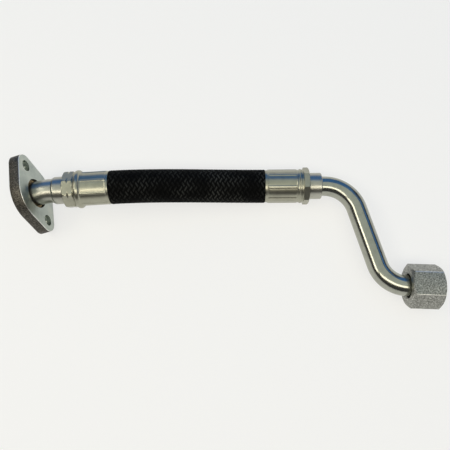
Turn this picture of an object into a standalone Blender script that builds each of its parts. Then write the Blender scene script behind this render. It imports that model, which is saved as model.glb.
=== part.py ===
"""Turbo oil feed line, lying as it would come to rest.

A two-hole diamond flange, a short brazed stub, a textile braided hose crimped between two barbed
nipples, a steel tube with two bends and a loose union nut over a 24 degree sealing cone.
X runs along the hose from the flange to the nut, Y across it, Z up. The bottom centre of the
bounding box is the origin. Sizes are in millimetres and are scaled to metres as they are used.
"""
import math

import bmesh
import bpy
from mathutils import Matrix, Vector

for old in list(bpy.data.objects):
    bpy.data.objects.remove(old, do_unlink=True)

MM = 0.001

# Flange plate
PLATE_THICK = 8.8
BOLT_SPACING = 46.5
BOLT_HOLE_D = 9.0
BOSS_R = 9.4
BULGE_R = 22.8
PLATE_EDGE = 0.5
SOCKET_D = 24.0
SOCKET_DEPTH = 4.0
PORT_D = 14.0
PLATE_TURN = 11.0
PLATE_BACK = 10.0
PLATE_LEAN = 30.0

# Stub between the flange and the first nipple: a short leg in the socket, then a slight bend
STUB_OD = 19.2
STUB_ID = 15.2
STUB_LEG = 13.3
STUB_TURN = 9.8
STUB_RISE = 4.0
STUB_BEND_R = 20.0

# Hose fittings, each measured from the outer end of its collar
COLLAR_D_A = 22.0
COLLAR_D_B = 21.4
COLLAR_LEN_A = 9.0
COLLAR_LEN_B = 10.0
SOCKET_INTO_COLLAR = 6.5
NECK_R = 8.2
LOCK_RING_R = 9.6
TAIL_R = 8.05
TAIL_ROOT_R = 7.3
TAIL_BORE_R = 5.6
TAIL_LEN = 20.0
FERRULE_LEN_A = 35.8
FERRULE_LEN_B = 35.2
FERRULE_R_A = 13.9
FERRULE_R_B = 13.6
HEAD_R_A = 15.3
HEAD_R_B = 15.1
CRIMP_DEPTH = 0.42
CRIMP_TURN_A = -8.0
CRIMP_TURN_B = 22.5
CRIMP_SEGMENTS = 8

# Hose
HOSE_R = 13.6
HOSE_CRIMPED_R = 11.9
LINER_OUT_R = 10.4
LINER_IN_R = 8.4
FIT = 0.3

# Bent tube
TUBE_OD = 16.0
TUBE_BORE = 12.0
BEND_R_1 = 26.0
BEND_R_2 = 22.0
NUT_AF = 30.0
NUT_LEN = 24.0
NUT_BACK_BORE_R = 9.3
THREAD_R = 11.2
CONE_HALF_ANGLE = 12.0
O_RING_R = 0.9

# Places in the photograph's table plane, before the origin is moved to the bottom centre
FLANGE_XY = (-151.2, -0.25)
LINE_TURN_A = 2.4
LINE_DROP_A = -1.8
COLLAR_PAST_BEND = 4.6
FITTING_B_AT = (77.7, 2.2)
LINE_TURN_B = -1.5
CORNER_1 = (100.5, 0.8)
CORNER_2 = (120.2, -80.3)
LEG_C_TURN = -3.4
NUT_START = 16.7

ROUND = 48
SMALL_ROUND = 32


def material(name, colour, metallic, roughness):
    mat = bpy.data.materials.new(name)
    mat.use_nodes = True
    shader = mat.node_tree.nodes["Principled BSDF"]
    shader.inputs["Base Color"].default_value = (*colour, 1.0)
    shader.inputs["Metallic"].default_value = metallic
    shader.inputs["Roughness"].default_value = roughness
    return mat


def mesh_object(name, bm):
    mesh = bpy.data.meshes.new(name)
    bm.to_mesh(mesh)
    bm.free()
    obj = bpy.data.objects.new(name, mesh)
    bpy.context.scene.collection.objects.link(obj)
    return obj


def settle(obj):
    """Turns the modifiers into plain mesh, with the faces looking outward."""
    graph = bpy.context.evaluated_depsgraph_get()
    done = bpy.data.meshes.new_from_object(obj.evaluated_get(graph))
    obj.modifiers.clear()
    obj.data = done
    bm = bmesh.new()
    bm.from_mesh(done)
    bmesh.ops.recalc_face_normals(bm, faces=bm.faces)
    if bm.calc_volume(signed=True) < 0:
        bmesh.ops.reverse_faces(bm, faces=bm.faces)
    bm.to_mesh(done)
    bm.free()
    return obj


def lathe(name, profile, steps=ROUND, turn=0.0):
    """Spins a closed profile of (radius, height) points round Z with the Screw modifier."""
    steps = round(steps)
    bm = bmesh.new()
    spin = math.radians(turn)
    ring = []
    for radius, height in profile:
        place = (radius * MM * math.cos(spin), radius * MM * math.sin(spin), height * MM)
        ring.append(bm.verts.new(place))
    for i, vert in enumerate(ring):
        bm.edges.new((vert, ring[(i + 1) % len(ring)]))
    obj = mesh_object(name, bm)
    screw = obj.modifiers.new("Spin", "SCREW")
    screw.axis = "Z"
    screw.angle = math.tau
    screw.steps = steps
    screw.render_steps = steps
    screw.use_merge_vertices = True
    screw.merge_threshold = 0.00001
    return settle(obj)


def prism(name, outline, low, high):
    """Extrudes an outline in XY between two heights."""
    bm = bmesh.new()
    floor = [bm.verts.new((x * MM, y * MM, low * MM)) for x, y in outline]
    face = bm.faces.new(floor)
    grown = bmesh.ops.extrude_face_region(bm, geom=[face])["geom"]
    lifted = [item for item in grown if isinstance(item, bmesh.types.BMVert)]
    bmesh.ops.translate(bm, verts=lifted, vec=(0.0, 0.0, (high - low) * MM))
    bmesh.ops.recalc_face_normals(bm, faces=bm.faces)
    return mesh_object(name, bm)


def circle(radius, steps, turn=0.0):
    steps = round(steps)
    start = math.radians(turn)
    return [
        (radius * math.cos(start + math.tau * i / steps), radius * math.sin(start + math.tau * i / steps))
        for i in range(steps)
    ]


def combine(obj, tool, operation="DIFFERENCE"):
    """Cuts or clips one solid with another, then drops the tool."""
    step = obj.modifiers.new("Cut", "BOOLEAN")
    step.operation = operation
    step.solver = "EXACT"
    step.object = tool
    settle(obj)
    bpy.data.objects.remove(tool, do_unlink=True)
    return obj


def frame_at(origin, forward, up_hint=(0.0, 0.0, 1.0)):
    """Local Z runs forward, local X points up, so that angles are read from the top."""
    z = Vector(forward).normalized()
    up = Vector(up_hint)
    x = (up - z * up.dot(z)).normalized()
    y = z.cross(x)
    turn = Matrix((x, y, z)).transposed().to_4x4()
    return Matrix.Translation(Vector(origin) * MM) @ turn


def place(obj, matrix):
    obj.data.transform(matrix)
    return obj


def paint(obj, mat):
    obj.data.materials.clear()
    obj.data.materials.append(mat)
    return obj


def heading(turn, rise):
    a = math.radians(turn)
    b = math.radians(rise)
    return Vector((math.cos(a) * math.cos(b), math.sin(a) * math.cos(b), math.sin(b)))


class Route:
    """A centreline of dense points that a straight body can be laid along."""

    def __init__(self, points):
        self.points = [Vector(p) for p in points]
        self.runs = [0.0]
        for a, b in zip(self.points, self.points[1:]):
            self.runs.append(self.runs[-1] + (b - a).length)
        self.length = self.runs[-1]

    def at(self, run):
        run = min(max(run, 0.0), self.length)
        i = 0
        while i < len(self.runs) - 2 and self.runs[i + 1] < run:
            i += 1
        span = self.runs[i + 1] - self.runs[i]
        return self.points[i].lerp(self.points[i + 1], (run - self.runs[i]) / span)

    def frame(self, run):
        reach = 0.2
        low = max(run - reach, 0.0)
        high = min(run + reach, self.length)
        forward = self.at(high) - self.at(low)
        return frame_at(self.at(run), forward)


def lay_along(obj, route):
    """Moves every ring of a straight body onto the route."""
    frames = {}
    for vert in obj.data.vertices:
        run = round(vert.co.z / MM, 3)
        if run not in frames:
            frames[run] = route.frame(run)
        vert.co = frames[run] @ Vector((vert.co.x, vert.co.y, 0.0))
    return obj


def arc_points(corner, before, after, radius, steps):
    """Rounds a corner of the route; returns the arc's points from start to end."""
    into = (Vector(corner) - Vector(before)).normalized()
    out = (Vector(after) - Vector(corner)).normalized()
    bend = into.angle(out)
    reach = radius * math.tan(bend / 2)
    start = Vector(corner) - into * reach
    inward = (out - into * out.dot(into)).normalized()
    centre = start + inward * radius
    points = []
    for i in range(steps + 1):
        a = bend * i / steps
        points.append(centre - inward * radius * math.cos(a) + into * radius * math.sin(a))
    return points


def tube_profile(outer, inner, stations):
    up = [(outer, s) for s in stations]
    down = [(inner, s) for s in reversed(stations)]
    return up + down


STEEL = material("zinc plated steel", (0.62, 0.63, 0.60), 1.0, 0.28)
PLATE = material("cut plate steel", (0.42, 0.45, 0.42), 1.0, 0.45)
NUT = material("tumbled zinc", (0.46, 0.48, 0.46), 1.0, 0.5)
BRAID = material("black textile braid", (0.02, 0.02, 0.022), 0.0, 0.85)
RUBBER = material("black rubber", (0.012, 0.012, 0.012), 0.0, 0.6)
BRAZE = material("brass braze", (0.68, 0.50, 0.24), 1.0, 0.4)

# Flange plate, first flat with its front face looking up local Z and its long axis along local Y
half = BOLT_SPACING / 2
flank = math.asin((BULGE_R - BOSS_R) / half)
BULGE_STEPS = 12
BOSS_STEPS = 16
outline = []
for side in (0, 1):
    base = side * math.pi
    for i in range(BULGE_STEPS + 1):
        a = base - flank + 2 * flank * i / BULGE_STEPS
        outline.append((BULGE_R * math.cos(a), BULGE_R * math.sin(a)))
    boss_y = half if side == 0 else -half
    for i in range(BOSS_STEPS + 1):
        a = base + flank + (math.pi - 2 * flank) * i / BOSS_STEPS
        outline.append((BOSS_R * math.cos(a), boss_y + BOSS_R * math.sin(a)))
plate = prism("flange_plate", outline, -PLATE_THICK, 0.0)
edge = plate.modifiers.new("Edge", "BEVEL")
edge.width = PLATE_EDGE * MM
edge.segments = 2
edge.limit_method = "ANGLE"
edge.angle_limit = math.radians(60)
settle(plate)
for hole_y in (-half, half):
    hole = prism("hole", circle(BOLT_HOLE_D / 2, SMALL_ROUND), -PLATE_THICK - 2, 2)
    place(hole, Matrix.Translation((0.0, hole_y * MM, 0.0)))
    combine(plate, hole)
combine(plate, prism("socket", circle(SOCKET_D / 2, ROUND), -SOCKET_DEPTH, 2))
combine(plate, prism("port", circle(PORT_D / 2, ROUND), -PLATE_THICK - 2, 0))

normal = heading(PLATE_TURN, PLATE_BACK)
sideways = normal.cross(Vector((0.0, 0.0, 1.0))).normalized()
upward = sideways.cross(normal)
lean = math.radians(PLATE_LEAN)
long_axis = (sideways * math.cos(lean) - upward * math.sin(lean)).normalized()
back = math.radians(PLATE_BACK)
plate_height = BULGE_R * math.cos(back) + PLATE_THICK * math.sin(back)
face_centre = Vector((FLANGE_XY[0], FLANGE_XY[1], plate_height))
turn = Matrix((long_axis.cross(normal), long_axis, normal)).transposed().to_4x4()
plate_frame = Matrix.Translation(face_centre * MM) @ turn
place(plate, plate_frame)
paint(plate, PLATE)

# The stub stands in the socket a little off square, then bends towards the hose
line_a = heading(LINE_TURN_A, LINE_DROP_A)
stub_way = heading(STUB_TURN, STUB_RISE)
seat = face_centre - normal * SOCKET_DEPTH
stub_corner = seat + stub_way * STUB_LEG
collar_a = stub_corner + line_a * COLLAR_PAST_BEND
stub_from = seat - stub_way * 6.0
stub_to = collar_a + line_a * (SOCKET_INTO_COLLAR - FIT)
stub_bend = arc_points(stub_corner, stub_from, stub_to, STUB_BEND_R, 12)
stub_route = Route([stub_from, *stub_bend, stub_to])
stub_run = (stub_bend[0] - stub_from).length
stub_arc = stub_route.length - stub_run - (stub_to - stub_bend[-1]).length
stub_stops = [0.0, *[stub_run + stub_arc * i / 3 for i in range(4)], stub_route.length]
stub = lathe("flange_stub", tube_profile(STUB_OD / 2, STUB_ID / 2, stub_stops))
lay_along(stub, stub_route)
trim = prism("trim", circle(30, 24), -20, FIT)
place(trim, Matrix.Translation(seat * MM) @ turn)
combine(stub, trim)
paint(stub, STEEL)

braze = prism("flange_braze", circle(SOCKET_D / 2 - FIT, ROUND), FIT, FIT + 1.2)
place(braze, Matrix.Translation(seat * MM) @ turn)
core = prism("core", circle(STUB_OD / 2 + FIT, ROUND), -20, 20)
place(core, frame_at(seat, stub_way))
combine(braze, core)
paint(braze, BRAZE)


def nipple_profile(collar_len, socket_r, collar_r):
    """Collar, neck, lock ring and barbed tail; heights run from the collar's outer end."""
    root = collar_len + 6.3
    points = [
        (socket_r + 0.4, 0.0),
        (collar_r - 1.6, 0.0),
        (collar_r - 0.6, 0.4),
        (collar_r, 1.4),
        (collar_r, collar_len - 0.3),
        (collar_r - 0.3, collar_len),
        (NECK_R, collar_len),
        (NECK_R, collar_len + 4.0),
        (LOCK_RING_R, collar_len + 4.3),
        (LOCK_RING_R, collar_len + 5.8),
        (TAIL_ROOT_R, root),
    ]
    barbs = 4
    pitch = (TAIL_LEN - 2.0) / barbs
    for i in range(barbs):
        low = root + 0.6 + i * pitch
        points.append((TAIL_R, low))
        points.append((TAIL_R, low + 0.5))
        points.append((TAIL_ROOT_R, low + pitch - 0.4))
    points.append((TAIL_ROOT_R - 0.5, root + TAIL_LEN))
    points.append((TAIL_BORE_R, root + TAIL_LEN))
    points.append((TAIL_BORE_R, SOCKET_INTO_COLLAR))
    points.append((socket_r, SOCKET_INTO_COLLAR))
    points.append((socket_r, 0.4))
    return points


def ferrule(name, collar_len, length, outer, body_r, crimp_from, crimp_to, head_to, head_r, turn_deg):
    """A sleeve with a lip behind the collar, a faceted head, a bead and a crimped body."""
    start = collar_len + FIT
    lip = start + 3.4
    end = start + length
    mouth = 1.4
    inner = [
        (HOSE_CRIMPED_R + FIT + 0.9, end),
        (HOSE_CRIMPED_R + FIT, end - mouth),
        (HOSE_CRIMPED_R + FIT, lip),
        (NECK_R + FIT, lip),
        (NECK_R + FIT, start),
    ]
    body = lathe(name, outer + inner, 40, turn_deg)
    # The head keeps eight flats
    flats = prism("flats", circle(head_r, CRIMP_SEGMENTS, turn_deg), start - 1, head_to)
    ring = prism("ring", circle(24, 24), start - 2, head_to)
    place(flats, Matrix.Identity(4))
    combine(ring, flats)
    combine(body, ring)
    # The crimp dies leave eight narrow ridges between their faces
    die = []
    step = math.tau / CRIMP_SEGMENTS
    ridge = math.radians(3.2)
    for k in range(CRIMP_SEGMENTS):
        middle = math.radians(turn_deg) + k * step
        for a, r in (
            (middle - ridge * 0.45, body_r + 0.6),
            (middle + ridge * 0.45, body_r + 0.6),
        ):
            die.append((r * math.cos(a), r * math.sin(a)))
        count = 5
        for i in range(count + 1):
            a = middle + ridge + (step - 2 * ridge) * i / count
            r = body_r - CRIMP_DEPTH
            die.append((r * math.cos(a), r * math.sin(a)))
    keep = prism("keep", die, crimp_from - 1, crimp_to + 1)
    ring = prism("ring", circle(24, 24), crimp_from, crimp_to)
    combine(ring, keep)
    combine(body, ring)
    return paint(body, STEEL)


start_a = COLLAR_LEN_A + FIT
end_a = start_a + FERRULE_LEN_A
R = FERRULE_R_A
H = HEAD_R_A
outer_a = [
    (H - 2.4, start_a),
    (H - 0.6, start_a + 0.9),
    (H - 0.05, start_a + 4.1),
    (H - 1.1, start_a + 4.5),
    (H - 1.1, start_a + 5.4),
    (H - 0.05, start_a + 5.8),
    (H - 0.05, start_a + 8.2),
    (R, start_a + 8.7),
    (R, start_a + 9.3),
    (H - 0.4, start_a + 9.9),
    (H, start_a + 11.0),
    (H, start_a + 12.2),
    (H - 0.4, start_a + 13.2),
    (R, start_a + 13.9),
    (R, end_a - 1.7),
    (R - 0.6, end_a - 1.2),
    (R - 0.6, end_a - 0.3),
    (R - 0.9, end_a),
]
start_b = COLLAR_LEN_B + FIT
end_b = start_b + FERRULE_LEN_B
R = FERRULE_R_B
outer_b = [
    (14.2, start_b),
    (HEAD_R_B + 0.2, start_b + 0.7),
    (HEAD_R_B + 0.2, start_b + 4.3),
    (R - 0.1, start_b + 4.7),
    (R - 0.1, start_b + 5.8),
    (13.9, start_b + 6.1),
    (13.9, start_b + 7.3),
    (R - 0.3, start_b + 7.7),
    (R - 0.3, start_b + 9.2),
    (R, start_b + 9.6),
    (R, end_b - 2.2),
    (R - 0.5, end_b - 1.7),
    (R - 0.5, end_b - 0.3),
    (R - 0.8, end_b),
]

frame_a = frame_at(collar_a, line_a)
nipple_a = lathe("flange_end_nipple", nipple_profile(COLLAR_LEN_A, STUB_OD / 2 + FIT, COLLAR_D_A / 2), SMALL_ROUND)
place(nipple_a, frame_a)
paint(nipple_a, STEEL)
ferrule_a = ferrule(
    "flange_end_ferrule", COLLAR_LEN_A, FERRULE_LEN_A, outer_a, FERRULE_R_A,
    start_a + 14.2, end_a - 1.9, start_a + 8.8, HEAD_R_A - 0.25, CRIMP_TURN_A,
)
place(ferrule_a, frame_a)

# The tube's end fitting looks back along the line; its head rests on a flat on the floor
head_rest = HEAD_R_B * math.cos(math.pi / CRIMP_SEGMENTS)
line_b = -heading(LINE_TURN_B, 0.0)
collar_b = Vector((FITTING_B_AT[0], FITTING_B_AT[1], head_rest))
frame_b = frame_at(collar_b, line_b)
nipple_b = lathe("tube_end_nipple", nipple_profile(COLLAR_LEN_B, TUBE_OD / 2 + FIT, COLLAR_D_B / 2), SMALL_ROUND)
place(nipple_b, frame_b)
paint(nipple_b, STEEL)
ferrule_b = ferrule(
    "tube_end_ferrule", COLLAR_LEN_B, FERRULE_LEN_B, outer_b, FERRULE_R_B,
    start_b + 10.0, end_b - 2.4, start_b + 4.75, HEAD_R_B, CRIMP_TURN_B,
)
place(ferrule_b, frame_b)

# Hose: straight inside the ferrules and a soft curve between them
hose_from = COLLAR_LEN_A + 6.3 + FIT
hose_to = COLLAR_LEN_B + 6.3 + FIT
grip_a = end_a
grip_b = end_b
route = [collar_a + line_a * hose_from, collar_a + line_a * grip_a]
p0 = collar_a + line_a * grip_a
p1 = collar_b + line_b * grip_b
pull = (p1 - p0).length
CURVE_STEPS = 60
for i in range(1, CURVE_STEPS):
    t = i / CURVE_STEPS
    h00 = 2 * t ** 3 - 3 * t ** 2 + 1
    h10 = t ** 3 - 2 * t ** 2 + t
    h01 = -2 * t ** 3 + 3 * t ** 2
    h11 = t ** 3 - t ** 2
    route.append(p0 * h00 + line_a * pull * h10 + p1 * h01 - line_b * pull * h11)
route += [p1, collar_b + line_b * hose_to]
hose_route = Route(route)
total = hose_route.length
held_a = grip_a - hose_from
held_b = total - (grip_b - hose_to)
spots = [held_a + (held_b - held_a) * i / 15 for i in range(1, 15)]
C = HOSE_CRIMPED_R
cover = [(C, 0.0), (C, held_a - 1.2), (C + 0.5, held_a - 0.1), (HOSE_R, held_a + 1.2)]
cover += [(HOSE_R, s) for s in spots]
cover += [(HOSE_R, held_b - 1.2), (C + 0.5, held_b + 0.1), (C, held_b + 1.2), (C, total)]
inside = [(LINER_OUT_R + FIT, s) for s in reversed([0.0, held_a, *spots, held_b, total])]
braid = lathe("hose_braid", cover + inside, 36)
lay_along(braid, hose_route)
paint(braid, BRAID)
liner = lathe("hose_liner", tube_profile(LINER_OUT_R, LINER_IN_R, [0.0, held_a, *spots, held_b, total]), 24)
lay_along(liner, hose_route)
paint(liner, RUBBER)

# Bent tube, from inside the collar through two bends into the sealing cone
nut_z = NUT_AF / 2
corner_1 = Vector((CORNER_1[0], CORNER_1[1], head_rest))
corner_2 = Vector((CORNER_2[0], CORNER_2[1], nut_z))
leg_c = heading(LEG_C_TURN, 0.0)
nut_at = corner_2 + leg_c * NUT_START
tube_from = collar_b + line_b * (SOCKET_INTO_COLLAR - FIT)
tube_to = nut_at + leg_c * 12.7
bend_1 = arc_points(corner_1, collar_b, corner_2, BEND_R_1, 40)
bend_2 = arc_points(corner_2, corner_1, tube_to, BEND_R_2, 40)
tube_route = Route([tube_from, collar_b, *bend_1, *bend_2, tube_to])
run_1 = (collar_b - tube_from).length + (bend_1[0] - collar_b).length
arc_1 = sum((b - a).length for a, b in zip(bend_1, bend_1[1:]))
run_2 = run_1 + arc_1 + (bend_2[0] - bend_1[-1]).length
arc_2 = sum((b - a).length for a, b in zip(bend_2, bend_2[1:]))
stops = [0.0, SOCKET_INTO_COLLAR - FIT]
stops += [run_1 + arc_1 * i / 11 for i in range(12)]
stops += [run_2 + arc_2 * i / 10 for i in range(11)]
stops += [tube_route.length]
tube = lathe("bent_tube", tube_profile(TUBE_OD / 2, TUBE_BORE / 2, stops), SMALL_ROUND)
lay_along(tube, tube_route)
paint(tube, STEEL)

# Sealing cone on the tube's end, heights run from the back of the nut
frame_n = frame_at(nut_at, leg_c)
fall = math.tan(math.radians(CONE_HALF_ANGLE))
cone_top = TUBE_OD / 2 + 2.3
cone_from = 10.8
cone_to = 19.2


def cone_r(height):
    return cone_top - fall * (height - cone_from)


groove_from = 13.7
groove_to = 16.3
groove_r = TUBE_BORE / 2 + 1.7
cone = lathe("sealing_cone", [
    (TUBE_OD / 2 + FIT, 6.3),
    (9.35, 6.3),
    (10.75, 7.7),
    (10.75, 10.4),
    (cone_top, cone_from),
    (cone_r(groove_from), groove_from),
    (groove_r, groove_from + 0.1),
    (groove_r, groove_to - 0.1),
    (cone_r(groove_to), groove_to),
    (cone_r(cone_to), cone_to),
    (cone_r(cone_to) - 0.5, cone_to + 0.3),
    (TUBE_BORE / 2, cone_to + 0.3),
    (TUBE_BORE / 2, 13.0),
    (TUBE_OD / 2 + FIT, 13.0),
], SMALL_ROUND)
place(cone, frame_n)
paint(cone, STEEL)
seal_r = groove_r + FIT + O_RING_R
seal_at = (groove_from + groove_to) / 2
seal = lathe("cone_o_ring", [(seal_r + x, seal_at + y) for x, y in circle(O_RING_R, 10)], SMALL_ROUND)
place(seal, frame_n)
paint(seal, RUBBER)

# Union nut: a hex bar clipped by a double cone, then bored from the back and threaded from the front
nut = prism("union_nut", circle(NUT_AF / math.sqrt(3), 6, 30.0), 0.0, NUT_LEN)
corner_r = NUT_AF / math.sqrt(3)
slope = math.tan(math.radians(30.0))
rim_back = NUT_AF / 2 - 0.6
rim_front = NUT_AF / 2 - 0.7
clip = lathe("clip", [
    (rim_back, 0.0),
    (rim_back + 6.0, 6.0 * slope),
    (rim_front + 6.0, NUT_LEN - 6.0 * slope),
    (rim_front, NUT_LEN),
    (0.5, NUT_LEN),
    (0.5, 0.0),
], ROUND, 2.5)
plug = prism("plug", circle(5.0, 24), 0.0, NUT_LEN)
combine(clip, plug, "UNION")
combine(nut, clip, "INTERSECT")
bore = lathe("bore", [
    (NUT_BACK_BORE_R + 1.0, -1.0),
    (NUT_BACK_BORE_R + 1.0, 0.0),
    (NUT_BACK_BORE_R, 1.0),
    (NUT_BACK_BORE_R, 5.6),
    (THREAD_R, 7.5),
    (THREAD_R, NUT_LEN - 1.2),
    (THREAD_R + 1.1, NUT_LEN),
    (THREAD_R + 1.1, NUT_LEN + 1.0),
    (0.5, NUT_LEN + 1.0),
    (0.5, -1.0),
], ROUND)
plug = prism("plug", circle(5.0, 24), -1.0, NUT_LEN + 1.0)
combine(bore, plug, "UNION")
combine(nut, bore)
place(nut, frame_n)
paint(nut, NUT)

# The bottom centre of the bounding box becomes the origin
solids = [obj for obj in bpy.data.objects if obj.type == "MESH"]
places = [vert.co for obj in solids for vert in obj.data.vertices]
low = [min(p[k] for p in places) for k in range(3)]
high = [max(p[k] for p in places) for k in range(3)]
shift = Vector((-(low[0] + high[0]) / 2, -(low[1] + high[1]) / 2, -low[2]))
for obj in solids:
    obj.data.transform(Matrix.Translation(shift))
print("shift in mm", [round(v / MM, 3) for v in shift])
print("nut start", [round(v, 3) for v in nut_at + shift / MM], "along", [round(v, 5) for v in leg_c])
print("face centre", [round(v, 3) for v in face_centre + shift / MM], "normal", [round(v, 5) for v in normal])
print("long axis", [round(v, 5) for v in long_axis])
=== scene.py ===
# %% [markdown]
# # A turbo oil feed line
# This file dresses the imported solids of the line: a cut steel flange, a braided hose held by two
# crimped ferrules, a bright bent tube and a loose union nut. It starts from the frame, whose solids
# already have their true places, and gives each piece its finer form and its finish.

# %% The frame's solids
import math

import bmesh
import bpy
from mathutils import Matrix, Vector


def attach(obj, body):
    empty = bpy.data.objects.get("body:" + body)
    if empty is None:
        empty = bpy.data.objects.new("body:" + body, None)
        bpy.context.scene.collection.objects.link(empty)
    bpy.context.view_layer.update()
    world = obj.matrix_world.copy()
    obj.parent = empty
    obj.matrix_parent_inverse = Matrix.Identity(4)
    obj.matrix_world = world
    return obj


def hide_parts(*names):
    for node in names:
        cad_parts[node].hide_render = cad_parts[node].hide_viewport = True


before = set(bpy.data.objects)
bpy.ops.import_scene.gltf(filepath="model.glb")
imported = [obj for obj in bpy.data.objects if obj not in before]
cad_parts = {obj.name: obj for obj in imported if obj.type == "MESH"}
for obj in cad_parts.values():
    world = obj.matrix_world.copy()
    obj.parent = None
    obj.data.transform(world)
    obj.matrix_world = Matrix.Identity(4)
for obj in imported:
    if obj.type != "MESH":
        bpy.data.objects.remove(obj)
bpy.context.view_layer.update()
MM = 0.001

# %% [markdown]
# ## The camera
# The photo was taken by hand from above the line and a little in front of it. A solved camera keeps
# the same place, turn and lens, so that every piece can be compared with the photo directly.

# %% The camera
FOCAL_PX = 463.0
FRAME_PX = 450.0
camera_data = bpy.data.cameras.new("photo_camera")
camera_data.sensor_width = 36.0
camera_data.lens = FOCAL_PX / FRAME_PX * camera_data.sensor_width
camera = bpy.data.objects.new("photo_camera", camera_data)
bpy.context.scene.collection.objects.link(camera)
camera.matrix_world = Matrix(
    (
        (0.9994, 0.0298, 0.0177, 0.008583),
        (-0.0239, 0.9623, -0.2709, -0.093325),
        (-0.0251, 0.2703, 0.9624, 0.37149),
        (0.0, 0.0, 0.0, 1.0),
    )
)
bpy.context.scene.camera = camera
print("lens", round(camera_data.lens, 2), "mm")

# %% [markdown]
# ## Where the pieces stand
# The route of the line is repeated here in the frame's own millimetres. Each fitting has a place and
# a heading, and a small helper turns them into a matrix whose Z runs along the fitting and whose X
# points up.


# %% Places along the line
def heading(turn, rise):
    a = math.radians(turn)
    b = math.radians(rise)
    return Vector((math.cos(a) * math.cos(b), math.sin(a) * math.cos(b), math.sin(b)))


def frame_at(origin, forward):
    z = Vector(forward).normalized()
    up = Vector((0.0, 0.0, 1.0))
    x = (up - z * up.dot(z)).normalized()
    y = z.cross(x)
    turn = Matrix((x, y, z)).transposed().to_4x4()
    return Matrix.Translation(Vector(origin) * MM) @ turn


SHIFT = Vector((3.065, 35.819, 0.0))
SOCKET_DEPTH = 4.0
STUB_LEG = 13.3
COLLAR_PAST_BEND = 4.6
HEAD_R_B = 15.1
NUT_HALF = 15.0
NUT_START = 16.7
PLATE_NORMAL = heading(11.0, 10.0)
STUB_WAY = heading(9.8, 4.0)
LINE_A = heading(2.4, -1.8)
LINE_B = heading(178.5, 0.0)
LEG_C = heading(-3.4, 0.0)
FACE_CENTRE = Vector((-148.135, 35.569, 23.982))
SEAT = FACE_CENTRE - PLATE_NORMAL * SOCKET_DEPTH
STUB_CORNER = SEAT + STUB_WAY * STUB_LEG
COLLAR_A = STUB_CORNER + LINE_A * COLLAR_PAST_BEND
HEAD_REST = HEAD_R_B * math.cos(math.pi / 8)
COLLAR_B = Vector((77.7, 2.2, HEAD_REST)) + SHIFT
CORNER_1 = Vector((100.5, 0.8, HEAD_REST)) + SHIFT
CORNER_2 = Vector((120.2, -80.3, NUT_HALF)) + SHIFT
NUT_AT = CORNER_2 + LEG_C * NUT_START
FRAME_A = frame_at(COLLAR_A, LINE_A)
FRAME_B = frame_at(COLLAR_B, LINE_B)
FRAME_N = frame_at(NUT_AT, LEG_C)
print("collars at", [round(v, 1) for v in COLLAR_A], [round(v, 1) for v in COLLAR_B])

# %% [markdown]
# ## Building materials from nodes
# Every finish is made of the same few moves: a noise in object space, a ramp or a mix that turns it
# into colour or roughness, and a bump. Small helpers keep each recipe short enough to read.


# %% Node helpers
def new_material(name, metallic, roughness, colour):
    mat = bpy.data.materials.new(name)
    mat.use_nodes = True
    shader = mat.node_tree.nodes["Principled BSDF"]
    shader.inputs["Metallic"].default_value = metallic
    shader.inputs["Roughness"].default_value = roughness
    shader.inputs["Base Color"].default_value = (*colour, 1.0)
    return mat, mat.node_tree, shader


def sums(tree, operation, first, second=None, third=None):
    """One Math node; each input is a number or another node's output."""
    node = tree.nodes.new("ShaderNodeMath")
    node.operation = operation
    for socket, value in zip(node.inputs, (first, second, third)):
        if value is None:
            continue
        if isinstance(value, (int, float)):
            socket.default_value = value
        else:
            tree.links.new(value, socket)
    return node.outputs["Value"]


def object_space(tree, scale=(1.0, 1.0, 1.0), turn=(0.0, 0.0, 0.0)):
    coords = tree.nodes.new("ShaderNodeTexCoord")
    mapping = tree.nodes.new("ShaderNodeMapping")
    mapping.inputs["Scale"].default_value = scale
    mapping.inputs["Rotation"].default_value = turn
    tree.links.new(coords.outputs["Object"], mapping.inputs["Vector"])
    return mapping.outputs["Vector"]


def noise(tree, vector, scale, detail=4.0, roughness=0.55):
    node = tree.nodes.new("ShaderNodeTexNoise")
    node.inputs["Scale"].default_value = scale
    node.inputs["Detail"].default_value = detail
    node.inputs["Roughness"].default_value = roughness
    tree.links.new(vector, node.inputs["Vector"])
    return node.outputs["Fac"]


def ramp(tree, factor, stops):
    node = tree.nodes.new("ShaderNodeValToRGB")
    node.color_ramp.elements[0].position = stops[0][0]
    node.color_ramp.elements[0].color = (*stops[0][1], 1.0)
    node.color_ramp.elements[1].position = stops[-1][0]
    node.color_ramp.elements[1].color = (*stops[-1][1], 1.0)
    for position, colour in stops[1:-1]:
        node.color_ramp.elements.new(position).color = (*colour, 1.0)
    tree.links.new(factor, node.inputs["Fac"])
    return node.outputs["Color"]


def spread(tree, factor, low, high, from_low=0.0, from_high=1.0):
    node = tree.nodes.new("ShaderNodeMapRange")
    node.inputs["From Min"].default_value = from_low
    node.inputs["From Max"].default_value = from_high
    node.inputs["To Min"].default_value = low
    node.inputs["To Max"].default_value = high
    tree.links.new(factor, node.inputs["Value"])
    return node.outputs["Result"]


def bump(tree, shader, height, strength, distance, under=None):
    node = tree.nodes.new("ShaderNodeBump")
    node.inputs["Strength"].default_value = strength
    node.inputs["Distance"].default_value = distance
    tree.links.new(height, node.inputs["Height"])
    if under is not None:
        tree.links.new(under, node.inputs["Normal"])
    tree.links.new(node.outputs["Normal"], shader.inputs["Normal"])
    return node.outputs["Normal"]


# %% [markdown]
# ## Bright zinc
# The tube, the collars and the ferrules are plated with bright zinc. It is a mirror with a little
# haze: faint cloudy patches change its roughness, and very shallow ripples bend the reflections.


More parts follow.
